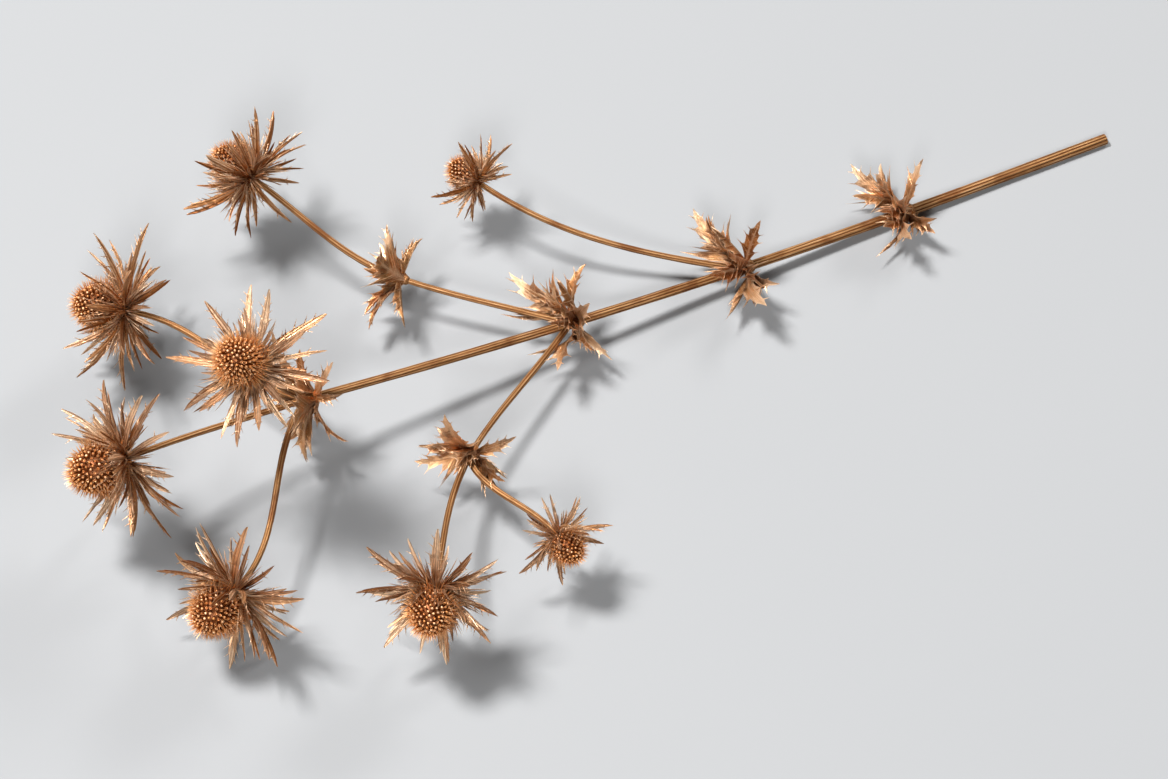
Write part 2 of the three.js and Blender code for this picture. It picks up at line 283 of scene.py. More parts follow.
class Finish:
    # a material whose nodes are added one by one
    def __init__(self, name, **surface):
        self.material = bpy.data.materials.new(name)
        self.material.use_nodes = True
        self.tree = self.material.node_tree
        self.shader = self.tree.nodes["Principled BSDF"]
        self.drive(**surface)

    def add(self, kind, settings=None, sockets=None, output=0):
        # a node of a kind, with its settings first and then the values or links of its sockets
        node = self.tree.nodes.new(kind)
        for key, value in (settings or {}).items():
            setattr(node, key, value)
        for key, value in (sockets or {}).items():
            self.feed(node.inputs[key], value)
        return Wire(self, node.outputs[output])

    def feed(self, target, value):
        # a link from another node, or a value of the socket's own, opaque if it is a colour
        if isinstance(value, Wire):
            self.tree.links.new(value.socket, target)
        elif target.type == "RGBA":
            target.default_value = (*value, 1)
        else:
            target.default_value = value

    def drive(self, **sockets):
        # what the material's own shader is fed
        for key, value in sockets.items():
            self.feed(self.shader.inputs[key.replace("_", " ")], value)

    def traits(self, *names):
        return [self.add("ShaderNodeAttribute", {"attribute_name": name}, output="Fac") for name in names]

    def fibres(self):
        return self.add("ShaderNodeAttribute", {"attribute_name": "fibre"}, output="Vector")

    def mixed(self, first, second, share):
        # first + (second - first) * share, through the Mix node's colour sockets
        sockets = {"Factor": share, 6: first, 7: second}
        return self.add("ShaderNodeMix", {"data_type": "RGBA"}, sockets, output=2)

    def coats(self, colour, layers):
        # a colour with coats of gilt mixed in one after another, each by its share
        for name, share in layers:
            colour = self.mixed(colour, gilt[name], share)
        return colour

    def speckle(self, scale, detail=2.0, rough=0.5, vector=None):
        # noise on object coordinates, or on a vector of the piece's own
        vector = vector or self.add("ShaderNodeTexCoord", output="Object")
        sockets = {"Vector": vector, "Scale": scale, "Detail": detail, "Roughness": rough}
        return self.add("ShaderNodeTexNoise", None, sockets)

    def grain(self, scale, detail=3.0):
        # noise stretched along the piece's own fibres
        return self.speckle(scale, detail, 0.6, self.fibres())

    def ridges(self, rate, wobble):
        # veins side by side along the fibres, from 0 in a groove to 1 on a ridge: half of
        # 1 + sin(rate * across + wobble * noise)
        fibres = self.fibres()
        across = self.add("ShaderNodeSeparateXYZ", None, {"Vector": fibres}, output="X")
        pushed = self.speckle(0.8, 1.0, 0.5, fibres) * wobble
        return (across * rate + pushed).maths("SINE") * 0.5 + 0.5

    def net(self, scale, width):
        # 1 on the edges of small cells, 0 inside them
        sockets = {"Vector": self.add("ShaderNodeTexCoord", output="Object"), "Scale": scale}
        cells = self.add("ShaderNodeTexVoronoi", {"feature": "DISTANCE_TO_EDGE"}, sockets)
        return 1 - cells.steps(0.0, width)

    def finished(self, colour, look, grain, height):
        # the colour, a roughness that follows the grain, and a relief
        distance, strength = look["relief"]
        sockets = {"Height": height, "Distance": distance, "Strength": strength}
        relief = self.add("ShaderNodeBump", None, sockets)
        self.drive(Base_Color=colour, Roughness=between(look["roughness"], grain), Normal=relief)
        return self.material


gilt = {
    "pale": (0.91, 0.635, 0.415),
    "gold": (0.625, 0.30, 0.115),
    "copper": (0.43, 0.138, 0.034),
    "rust": (0.32, 0.078, 0.014),
    "brown": (0.11, 0.027, 0.004),
    "fleck": (0.97, 0.80, 0.60),
    "amber": (0.66, 0.29, 0.095),
    "drab": (0.315, 0.166, 0.064),
    "straw": (0.88, 0.59, 0.35),
    "bark": (0.21, 0.066, 0.015),
    "pith": (0.62, 0.46, 0.27),
}
gloss = {"Specular_Tint": (1.0, 0.80, 0.58), "IOR": 1.5}  # of the thin gilt

bractLook = {
    "metal": 0.72,
    "roughness": (0.28, 0.52),  # by the grain
    "grain": 1.0,
    "fine": 3.1,
    "patches": 170,
    "ridges": (2.7, 4.0),  # rate and wobble
    "warm": (0.66, 0.76),  # where a blade's second draw makes it amber
    "relief": (0.0006, 0.85),  # metres and strength
}


def bractFinish():
    # copper, gold and pale by light = tip + tone + grain + ridges - underside, with painted highlight on the
    # ridges and painted shade on the undersides; rust at the root and brown there as painted shade inside the
    # collar, bark on the blades that took little gilt and as painted shade on the undersides, brown as
    # painted shade in the grooves, and brown where the gilt is missing
    f = Finish("bractGilt", Metallic=bractLook["metal"], **gloss)
    along, tone, vein, under = f.traits("along", "tone", "vein", "under")
    grain = f.grain(bractLook["grain"])
    fine = f.grain(bractLook["fine"], 2.0)
    patches = f.speckle(bractLook["patches"], 3)
    ridge = f.ridges(*bractLook["ridges"])
    # paler to the tip and by tone and grain; the ridges add painted highlight and the undersides take painted
    # shade
    light = along.steps(0.05, 0.6) * 0.65 + tone * 0.55 + grain * 0.9 + ridge * 0.35
    light = (light - under * 0.65 - 0.64).clamped()
    warm = tone.redrawn().steps(*bractLook["warm"])
    # bark on the blades of low tone, and painted shade on the undersides
    littleGiltAndShade = ((0.42 - tone).steps(0.0, 0.12) * 0.65 + under * 0.4) * (0.45 + grain)
    missing = patches.steps(0.55, 0.7) * (0.7 - tone * 0.5)
    # painted shade in the grooves between the ridges
    grooveShade = (1 - ridge).steps(0.55, 0.95) * (1.1 - grain)
    colour = f.coats(gilt["copper"], [
        ("gold", light.steps(0.0, 0.45)),
        ("pale", light.steps(0.3, 0.8)),
        ("amber", warm * 0.6),
        ("rust", (1 - along.steps(0.02, 0.3)) * 0.85),
        ("bark", littleGiltAndShade),
        ("brown", missing),
        ("brown", grooveShade * 0.8),
        # painted shade: brown at the root, inside the collar
        ("brown", (1 - along.steps(0.0, 0.22)) * 0.6),
        ("bark", fine.steps(0.5, 0.62) * 0.5),
        ("fleck", vein * light * 0.3),
    ])
    height = ridge * 0.5 + grain * 0.5 + fine * 0.3 + vein * 0.3
    return f.finished(colour, bractLook, grain, height)


leafLook = {
    "metal": 0.72,
    "roughness": (0.26, 0.46),
    "grain": 1.6,
    "fine": 5.0,
    "patches": 110,
    "ridges": (2.3, 7.0),
    "net": (620, 0.1),  # cells in a metre, and the width of their edges
    "warm": (0.6, 0.72),
    "relief": (0.0005, 0.7),
}


def leafFinish():
    # as the bracts, over patches of copper and drab, with a net of small veins and pale edges and midrib. The
    # pale edges are painted highlight, and the undersides, the grooves and the leaves' feet in the whorl's
    # cup take painted shade
    f = Finish("leafGilt", Metallic=leafLook["metal"], **gloss)
    along, edge, tone, vein, under = f.traits(*traitNames)
    grain = f.grain(leafLook["grain"])
    fine = f.grain(leafLook["fine"], 2.0)
    patches = f.speckle(leafLook["patches"], 4)
    ridge = f.ridges(*leafLook["ridges"])
    net = f.net(*leafLook["net"]) * grain.steps(0.3, 0.7)
    # the edges add painted highlight and the undersides take painted shade
    light = (edge * 0.3 + along * 0.6 + tone * 0.45 + grain * 0.6 - under * 0.4 - 0.58).clamped()
    warm = tone.redrawn().steps(*leafLook["warm"])
    # painted shade at the feet of the leaves, in the cup of the whorl
    cup = 1 - along.steps(0.0, 0.35)
    # bark on the leaves of low tone, and painted shade on the undersides and in the cup
    littleGiltAndShade = ((0.4 - tone).steps(0.0, 0.12) * 0.6 + under * 0.3 + cup * 0.6) * (0.5 + grain)
    # painted shade in the grooves
    grooveShade = (1 - ridge).steps(0.6, 1.0) * (1.1 - grain)
    colour = f.coats(gilt["copper"], [
        ("drab", patches.steps(0.36, 0.52)),
        ("gold", light.steps(0.0, 0.5) * 0.85),
        ("pale", light.steps(0.3, 0.8)),
        ("amber", warm * 0.5),
        ("bark", littleGiltAndShade),
        ("brown", grooveShade * 0.12),
        ("brown", patches.steps(0.5, 0.62) * 0.65),
        # pale on the net of veins and on the midrib, and painted highlight on the edges
        ("pale", net * 0.24 + vein * 0.35 + edge.steps(0.8, 1.0) * 0.35),
    ])
    height = ridge * 0.12 + grain * 0.3 + fine * 0.2 + patches * 0.4 + vein * 0.5 + net * 0.3
    return f.finished(colour, leafLook, grain, height)


floretLook = {"metal": 0.5, "roughness": (0.28, 0.48), "grain": 1.0, "relief": (0.0002, 0.5)}


def floretFinish():
    # brown between the florets as painted shade, at their feet and on the egg under them, rust and copper up
    # their sides, amber and then straw at their tips
    f = Finish("floretCopper", Metallic=floretLook["metal"], **gloss)
    along, tone = f.traits("along", "tone")
    grain = f.grain(floretLook["grain"])
    colour = f.coats(gilt["brown"], [
        ("rust", along.steps(0.05, 0.4) * 0.8),
        ("copper", along.steps(0.35, 0.7)),
        ("amber", along.steps(0.5, 0.85)),
        ("straw", along.steps(0.7, 1.0) * (tone * 1.2 - 0.12)),
    ])
    return f.finished(colour, floretLook, grain, grain)


stemLook = {"metal": 0.55, "roughness": (0.33, 0.58), "grain": 1.0, "patches": 60, "relief": (0.0004, 0.7)}


def stemFinish():
    # brown in the grooves as painted shade, drab and then gold by light = ridge + grain with painted
    # highlight on the ridge crests, and pith on the cut
    f = Finish("stemGilt", Metallic=stemLook["metal"], **gloss)
    ridge, onCut = f.traits("edge", "vein")
    grain = f.grain(stemLook["grain"], 5)
    patches = f.speckle(stemLook["patches"], 4)
    # the ridge term lightens the rib crests and leaves the grooves brown: painted highlight and painted shade
    # on the ribs
    light = (ridge * 0.65 + grain - 0.66).clamped()
    colour = f.coats(gilt["brown"], [
        ("drab", light.steps(0.0, 0.55)),
        ("gold", light.steps(0.35, 0.8) * 0.45),
        # painted highlight on the ridge crests
        ("pale", ridge.steps(0.6, 1.0) * grain.steps(0.5, 0.75) * 0.4),
        ("brown", patches.steps(0.48, 0.64) * 0.65),
        ("pith", onCut),
    ])
    return f.finished(colour, stemLook, grain, grain)


ribbing = {
    "main": {"ribs": 9, "twist": 0.9, "sides": 90},
    "stalk": {"ribs": 7, "twist": 0.4, "sides": 49},
    "depth": 0.16,
    "sharpness": 0.7,
    "uneven": (0.35, 9),  # how much the depth varies round the stalk, and how fast that turns
    "step": 1.6,  # between rings
    "knots": 24,  # places where the thickness wanders
    "wander": 0.05,
    "tip": 0.6,
    "fibre": (7, 0.05),  # across and along
}
cutFace = {
    "rings": [(0.35, 0.9), (0.5, 0.35), (0.58, 0.05), (0.9, 0.0)],  # share of the radius, and depth
    "middle": 0.1,  # its depth, as a share of the first ring's
}


def stalkShape(name):
    # rings along the stalk, of stalk radius * (1 - depth * uneven * (1 - ridge)), where uneven is near 1
    # and ridge = |sin(ribs * (angle + twist * share) / 2)| ^ sharpness. The main stem starts in its pith
    kind = ribbing["main" if name == "main" else "stalk"]
    seed = sum(map(ord, name))
    length = stalkLength(name)
    shares = np.linspace(0, 1, int(length / ribbing["step"]) + 2)
    points, bases = onStalk(name, shares)
    knots = scatter(seed + np.arange(ribbing["knots"]))
    wander = np.interp(shares, np.linspace(0, 1, ribbing["knots"]), knots) - 0.5
    radius = stalkRadius(name, shares) * (1 + ribbing["wander"] * wander)

    cut = np.array(cutFace["rings"] if name == "main" else []).reshape(-1, 2)
    points = np.concatenate([points[0] + cut[:, 1:] * bases[0][2], points])
    bases = np.concatenate([np.repeat(bases[:1], len(cut), axis=0), bases])
    radius = np.concatenate([cut[:, 0] * radius[0], radius])[:, None]
    onCut = np.concatenate([np.ones(len(cut)), np.zeros(len(shares))])[:, None]
    shares = np.concatenate([np.zeros(len(cut)), shares])[:, None]

    angle = turns(kind["sides"])
    ridge = np.abs(np.sin(kind["ribs"] * (angle + kind["twist"] * shares) / 2)) ** ribbing["sharpness"]
    amount, drift = ribbing["uneven"]
    uneven = 1 + amount * np.sin(2 * angle + drift * shares + seed)
    r = radius * (1 - ribbing["depth"] * uneven * (1 - ridge))
    rings = points[:, None] + circles(r, angle, 0.0) @ bases
    firstPole = points[:1] + cutFace["middle"] * cut[:1, 1:].sum() * bases[0][2]
    lastPole = points[-1:] + ribbing["tip"] * bases[-1][2]
    across, lengthwise = ribbing["fibre"]
    fibre = (np.cos(angle) * across, np.sin(angle) * across, shares * length * lengthwise + seed)
    traits = traitTable(r.shape, fibre, along=shares, edge=ridge, tone=scatter(seed), vein=onCut)
    quads, tris = loftFaces(len(shares), kind["sides"])
    return {
        "points": np.concatenate([rings.reshape(-1, 3), firstPole, lastPole]),
        "quads": quads,
        "tris": tris,
        "traits": np.concatenate([traits.reshape(-1, traits.shape[-1]), traits[[0, -1]].mean(axis=1)]),
    }


# the forms of blades. An outline is points (along, half width), in shares of the blade's length
bractForm = {
    "outline": [
        (0.0, 0.028), (0.15, 0.036), (0.29, 0.045), (0.375, 0.05), (0.465, 0.118), (0.402, 0.052),
        (0.47, 0.057), (0.552, 0.058), (0.645, 0.132), (0.57, 0.056), (0.62, 0.053), (0.682, 0.05),
        (0.762, 0.111), (0.7, 0.047), (0.75, 0.044), (0.797, 0.04), (0.858, 0.082), (0.814, 0.036),
        (0.88, 0.028), (0.94, 0.015), (1.0, 0.0),
    ],
    "skew": 1.0,  # how far the teeth point forwards
    "rowStep": 0.07,
    "columns": 5,
    "thickness": 0.55,
    "toothShift": 0.06,  # how much further along the second side's teeth are
    "cup": 0.0,
    "waves": 2.2,
    "waveDepth": 0.12,
}

slimBractForm = {
    **bractForm,
    "outline": [
        (0.0, 0.026), (0.3, 0.041), (0.44, 0.045), (0.53, 0.107), (0.467, 0.044), (0.58, 0.042),
        (0.676, 0.038), (0.755, 0.096), (0.697, 0.036), (0.8, 0.028), (0.91, 0.016), (1.0, 0.0),
    ],
}

strawForm = {
    "outline": [(0.0, 0.02), (0.35, 0.022), (0.7, 0.013), (1.0, 0.0)],
    "skew": 0.0,
    "rowStep": 0.3,
    "columns": 3,
    "thickness": 0.42,
    "toothShift": 0.0,
    "cup": 0.0,
    "waves": 1.0,
    "waveDepth": 0.0,
    "ahead": 0.3,  # how much paler it is than its place along the blade says
}

leafForm = {
    "outline": [
        (0.0, 0.05), (0.16, 0.13), (0.26, 0.2), (0.335, 0.258), (0.415, 0.332), (0.352, 0.262),
        (0.44, 0.325), (0.535, 0.392), (0.62, 0.47), (0.535, 0.378), (0.47, 0.29), (0.51, 0.322),
        (0.565, 0.37), (0.5, 0.297), (0.435, 0.215), (0.4, 0.16), (0.5, 0.205), (0.6, 0.295), (0.51, 0.197),
        (0.48, 0.095), (0.56, 0.1), (0.66, 0.118), (0.7, 0.128), (0.79, 0.21), (0.715, 0.125), (0.71, 0.06),
        (0.8, 0.05), (0.83, 0.055), (0.89, 0.106), (0.84, 0.048), (0.87, 0.032), (1.0, 0.0),
    ],
    "skew": 1.0,
    "rowStep": 0.05,
    "columns": 7,
    "thickness": 0.6,
    "toothShift": 0.06,
    "cup": 0.8,
    "waves": 3.1,
    "waveDepth": 0.22,
}

smallLeafForm = {
    **leafForm,
    "outline": [
        (0.0, 0.06), (0.12, 0.1), (0.25, 0.14), (0.33, 0.175), (0.43, 0.265), (0.35, 0.17), (0.36, 0.12),
        (0.48, 0.14), (0.54, 0.155), (0.64, 0.245), (0.565, 0.155), (0.57, 0.1), (0.67, 0.105), (0.7, 0.11),
        (0.79, 0.19), (0.715, 0.1), (0.75, 0.055), (0.85, 0.04), (1.0, 0.0),
    ],
    "rowStep": 0.06,
    "thickness": 0.5,
    "toothShift": 0.08,
    "waves": 2.6,
    "waveDepth": 0.18,
}

bladeSection = {
    "edgeLoss": 0.8,  # share of the thickness that is gone at an edge
    "thickness": ((0, 0.2, 1), (1.2, 1, 0.3)),  # places along, and the share of the thickness there
    "midrib": 0.5,  # how far it stands out below
    "midribEnd": 0.9,
    "waveOffset": 0.3,  # between the waves of the two edges
    "leastTurn": 1e-6,  # a straight blade is a very large arc
    "fibre": {"across": 2.2, "tone": (60, 31), "under": 5, "along": 0.11},
}


def flatBlade(form):
    # the blade laid flat: closed sections one after another, then a point at its base and one at its tip.
    # Across, a point is s * width, with s from 1 to -1 over the top and back below. Along, it is
    # the row + skew * |s| * width. It is half the thickness * (1 - edgeLoss * s^2) from the middle
    along, across = np.array(form["outline"], float).T
    rowOf = along - form["skew"] * across
    counts = np.maximum(1, np.ceil(np.diff(rowOf) / form["rowStep"])).astype(int)
    rows = np.concatenate([np.linspace(a, b, n, endpoint=False) for a, b, n in zip(rowOf, rowOf[1:], counts)])
    rows = rows[:, None]
    width = np.interp(rows, rowOf, across)
    tips = rowOf[1:-1][np.diff(np.sign(np.diff(across))) < 0]
    atTip = np.isin(np.round(rows, 6), np.round(tips, 6))
    columns = np.linspace(1, -1, form["columns"])
    inner = np.ones(form["columns"] - 2)
    s = np.concatenate([columns, -columns[1:-1]])
    face = np.concatenate([[0], inner, [0], -inner])  # 1 on top, -1 below and 0 on the edges
    onMidrib = np.isclose(s, 0)

    inTeeth = np.interp(rows, [rowOf[1], rowOf[2], rowOf[-2], 1], [0, 1, 1, 0])
    shift = form["toothShift"] * inTeeth * np.clip(s, 0, 1)
    a = (rows + form["skew"] * width * np.abs(s)) * (1 + shift)
    thick = form["thickness"] / 2 * (1 - bladeSection["edgeLoss"] * s**2) * face
    thick = thick * np.interp(rows, *bladeSection["thickness"])
    ribbed = onMidrib * (face < 0) * (rows < bladeSection["midribEnd"])
    thick = thick - form["thickness"] * bladeSection["midrib"] * ribbed

    def withEnds(grid, base, tip):
        return np.append(np.broadcast_to(grid, a.shape), [base, tip])

    return {
        "along": withEnds(a, rows[0, 0], 1),
        "across": withEnds(width * s, 0, 0),
        "s": withEnds(s, 0, 0),
        "thick": withEnds(thick, 0, 0),
        "row": withEnds(rows, rows[0, 0], 1),
        "vein": withEnds(atTip | onMidrib, 1, 1),
        "under": withEnds(face < 0, 0, 0),
    }, loftFaces(len(rows), len(s))


def bladeShapes(form, place):
    # a blade for each place. Its edges rise by fold * width * |s|^(1 + cup) and wave. It rolls by its twist,
    # and bends along a circle's arc, so that its rise turns evenly from the first to the last. It
    # starts at a radius, a height and an azimuth about the axis
    flat, (quads, tris) = flatBlade(form)
    p = {key: np.asarray(value, float)[:, None] for key, value in place.items()}
    length = p["length"]
    x = flat["along"] * length
    edge = np.abs(flat["s"])
    offset = bladeSection["waveOffset"] * (flat["s"] > 0)
    wave = np.sin(2 * math.pi * (form["waves"] * flat["row"] + p["phase"] + offset))
    y = flat["across"] * length + p["bend"] * length * flat["along"] ** 2
    lift = p["fold"] * edge ** form["cup"] + form["waveDepth"] * wave * edge
    z = flat["thick"] + np.abs(flat["across"]) * length * lift
    roll = p["twist"] * flat["along"]
    sideways = y * np.cos(roll) - z * np.sin(roll)
    normal = y * np.sin(roll) + z * np.cos(roll)

    turn = (p["rise1"] - p["rise0"]) / length
    turn = np.where(np.abs(turn) < bladeSection["leastTurn"], bladeSection["leastTurn"], turn)
    rise = p["rise0"] + turn * x
    out = p["radius"] + (np.sin(rise) - np.sin(p["rise0"])) / turn - normal * np.sin(rise)
    up = p["height"] - (np.cos(rise) - np.cos(p["rise0"])) / turn + normal * np.cos(rise)
    points = circles(out, p["azimuth"], up) + circles(sideways, p["azimuth"] + math.pi / 2, 0.0)

    scale = bladeSection["fibre"]
    fibre = (
        flat["across"] * length * scale["across"] + p["tone"] * scale["tone"][0],
        p["tone"] * scale["tone"][1] + flat["under"] * scale["under"],
        x * scale["along"],
    )
    along = (flat["along"] + form.get("ahead", 0)).clip(0, 1)
    given = {"along": along, "edge": edge, "tone": p["tone"], "vein": flat["vein"], "under": flat["under"]}
    return copies(points, quads, tris, traitTable(x.shape, fibre, **given))


hub = {
    "profile": [(0.5, -0.4), (1.5, -0.2), (1.9, 0.3), (3.2, 1.2), (4.6, 2.4), (5.0, 3.4), (4.8, 4.4)],
    "sides": 32,
    "ribs": (8, 0.05),  # how many, and how deep
    "fibre": (1.5, 1.5, 0.1),
    "traits": {"edge": 0.5, "tone": 0.4},
}
hubRadius, hubHeight = np.max(hub["profile"], axis=0)
dome = {
    "radius": 12.0,
    "halfHeight": 14.0,
    "taper": 0.12,
    "seated": 0.9,  # height of its middle, as a share of its half height
    "core": {"share": 0.82, "rings": 20, "sides": 32},
    "florets": 300,
    "lean": 0.25,
    "spread": (1, 1, 0.85),  # florets lean outwards a little
    "leastScale": 0.75,
}
youngHead = {"below": 0.7, "florets": 190, "bracts": 9, "blades": 0.6}  # a size under 0.7 is young

bractPlaces = {
    "count": 13,
    "length": (34, 46),
    "start": 0.7,
    "height": (0.74, 0.5),  # of the upper and the lower ones by turns, as a share of the hub's
    "rise": ((10, 42), (0, -20)),  # of the same, at the root and at the tip
    "scatter": {"rise": 14, "twist": 50, "spacing": 0.3},
    "fold": (0.45, 1.05),
}

# the smaller blades, with spans of what they draw, and their start in shares of the hub
looseKinds = [
    {
        "form": slimBractForm, "seed": 3000, "count": 17, "length": (22, 38),
        "rise": (15, 52), "curl": (0, 30), "start": (0.8, 0.6), "tone": (0.2, 1),
    },
    {
        "form": slimBractForm, "seed": 4000, "count": 20, "length": (22, 38),
        "rise": (-32, 16), "curl": (-35, 10), "start": (0.8, 0.35), "tone": (0, 1),
    },
    {
        "form": strawForm, "seed": 5000, "count": 280, "length": (13, 26),
        "rise": (-5, 64), "curl": (-10, 25), "start": (0.97, 0.85), "tone": (0.3, 1),
    },
    {
        "form": strawForm, "seed": 6000, "count": 100, "length": (11, 21),
        "rise": (-42, 0), "curl": (-25, 10), "start": (0.97, 0.6), "tone": (0, 1),
    },
]
looseScatter = {"height": 0.6, "azimuth": 0.5, "twist": 90, "bend": 0.16, "fold": (0.35, 1.0)}


def isYoung(size):
    # a young head has fewer pieces
    return size < youngHead["below"]


def mainBracts(size, seed):
    # evenly round the hub with a little scatter, by turns rising round the dome and spreading
    count = youngHead["bracts"] if isYoung(size) else bractPlaces["count"]
    i = np.arange(count)
    n = seed + i
    loose = bractPlaces["scatter"]
    rise = np.array(bractPlaces["rise"])[i % 2] + swing(loose["rise"], n + 50)[:, None]
    return {
        "length": size * between(bractPlaces["length"], scatter(n)),
        "radius": np.full(count, hubRadius * size * bractPlaces["start"]),
        "height": hubHeight * size * np.array(bractPlaces["height"])[i % 2],
        "azimuth": 2 * math.pi * (i + loose["spacing"] * scatter(n + 100)) / count,
        "rise0": np.radians(rise[:, 0]),
        "rise1": np.radians(rise[:, 1]),
        "twist": np.radians(swing(loose["twist"], n + 150)),
        "bend": np.zeros(count),
        "fold": between(bractPlaces["fold"], scatter(n + 200)),
        "phase": scatter(n + 250),
        "tone": scatter(n + 270),
    }


def looseBlades(size, seed, kind):
    # blade i is turned by i golden angles, and draws its length, rise, curl and the rest from its spans
    i = np.arange(int(kind["count"] * (youngHead["blades"] if isYoung(size) else 1)))
    n = seed + kind["seed"] + i
    rise = between(kind["rise"], scatter(n + 7))
    startOut, startUp = kind["start"]
    return {
        "length": size * between(kind["length"], scatter(n)),
        "radius": np.full(len(i), hubRadius * size * startOut),
        "height": hubHeight * size * startUp + swing(size * looseScatter["height"], n + 11),
        "azimuth": goldenAngle * i + looseScatter["azimuth"] * scatter(n + 13),
        "rise0": np.radians(rise),
        "rise1": np.radians(rise + between(kind["curl"], scatter(n + 17))),
        "twist": np.radians(swing(looseScatter["twist"], n + 19)),
        "bend": swing(looseScatter["bend"], n + 23),
        "fold": between(looseScatter["fold"], scatter(n + 29)),
        "phase": scatter(n + 31),
        "tone": between(kind["tone"], scatter(n + 37)),
    }


def hubShape(size):
    # the profile turned about the axis, its radius times 1 + depth * cos(ribs * angle)
    profile = np.array(hub["profile"]) * size
    angle = turns(hub["sides"])
    ribs, depth = hub["ribs"]
    rings = circles(profile[:, :1] * (1 + depth * np.cos(ribs * angle)), angle, profile[:, 1:])
    poles = [(0, 0, profile[0, 1]), (0, 0, profile[-1, 1])]
    points = np.concatenate([rings.reshape(-1, 3), poles])
    quads, tris = loftFaces(len(profile), hub["sides"])
    traits = traitTable(len(points), (points * hub["fibre"]).T, **hub["traits"])
    return {"points": points, "quads": quads, "tris": tris, "traits": traits}


def collarShape(size, seed):
    # hub, large bracts, smaller bracts between them and straws next to the dome
    large = bladeShapes(bractForm, mainBracts(size, seed))
    loose = [bladeShapes(kind["form"], looseBlades(size, seed, kind)) for kind in looseKinds]
    return joined([hubShape(size), large, *loose])


def onEgg(directions, size, share):
    # radius * (1 - taper * height) across and half height along, about the dome's middle
    middle = hubHeight + layout["seat"] / size + dome["halfHeight"] * dome["seated"]
    radius = dome["radius"] * (1 - dome["taper"] * directions[..., 2:]) * share
    height = middle + directions[..., 2:] * dome["halfHeight"] * share
    return np.concatenate([directions[..., :2] * radius, height], axis=-1) * size


def coreShape(size):
    # the egg under the florets, in rings at even steps from its foot to its top
    core = dome["core"]
    polar = np.linspace(math.pi, 0, core["rings"] + 2)[1:-1, None]
    rings = circles(np.sin(polar), turns(core["sides"]), np.cos(polar))
    poles = [(0, 0, -1.0), (0, 0, 1.0)]
    points = onEgg(np.concatenate([rings.reshape(-1, 3), poles]), size, core["share"])
    quads, tris = loftFaces(core["rings"], core["sides"])
    return {"points": points, "quads": quads, "tris": tris, "traits": traitTable(len(points))}


def framesOn(upward):
    # for each direction, a pair of directions across it and itself, as rows
    slanted = (0.3, 0.2, 1)  # none of the directions is quite along it
    across = unit(np.cross(upward, slanted))
    return np.stack([across, np.cross(upward, across), upward], axis=-2)


bud = {
    "sides": 7,
    "profile": [(0.5, -0.4), (0.5, 0.8), (0.7, 1.5), (0.7, 2.0), (0.42, 2.35)],
    # low values at the foot paint shade between the florets
    "shade": (0.0, 0.2, 0.55, 0.85, 1.0),  # of each ring, from foot to rim
    "open": 0.5,  # share of the buds that are open
    "openRim": 0.6,
    "crown": {"shut": 2.45, "open": 1.5},  # height of the middle
    "hollowShade": 0.1,
    "tall": (0.88, 1.12),
    "fibre": (50, 20, 2),
}
bristles = {
    "perFloret": 3,
    "length": (4.6, 7.0),
    "longer": ((-0.8, 0.5), (1.7, 1)),  # heights on the dome, and how many times longer they are there
    "radius": 0.2,
    "spread": 0.95,  # distance from the bud's axis
    "turn": 0.25,
    "lean": (0.3, 0.3),  # how much, and the share of it that is inwards
    "profile": [(1.0, -0.1), (0.75, 0.55)],  # shares of the radius and of the length
    # dark roots as painted shade among the florets, paler tips
    "shade": (0.1, 0.75),
    "tone": (0.45, 1),
}


def budShapes(roots, upward, seed, scale):
    # the profile turned about each bud's axis, with a lower crown and wider rim where it is open
    i = np.arange(len(roots))
    radius, height = np.array(bud["profile"]).T
    radius = np.tile(radius, (len(i), 1))
    opened = scatter(seed + i + 0.7) < bud["open"]
    radius[opened, -1] = bud["openRim"]
    rings = circles(radius[..., None], turns(bud["sides"]), height[:, None]).reshape(len(i), -1, 3)
    crown = np.where(opened, bud["crown"]["open"], bud["crown"]["shut"])
    poles = circles(0.0, 0.0, np.stack([np.full(len(i), height[0]), crown], axis=-1))
    tall = between(bud["tall"], scatter(seed + i + 0.4))[:, None, None] * scale
    points = roots[:, None] + (np.concatenate([rings, poles], axis=1) * tall) @ framesOn(upward)
    ringShade = np.append(np.repeat(bud["shade"], bud["sides"]), bud["shade"][0])
    shade = np.column_stack([np.tile(ringShade, (len(i), 1)), np.where(opened, bud["hollowShade"], 1.0)])
    tone = scatter(seed + i + 0.5)[:, None]
    fibre = [value * size for value, size in zip((tone, tone, shade), bud["fibre"])]
    quads, tris = loftFaces(len(height), bud["sides"])
    return copies(points, quads, tris, traitTable(shade.shape, fibre, along=shade, tone=tone))


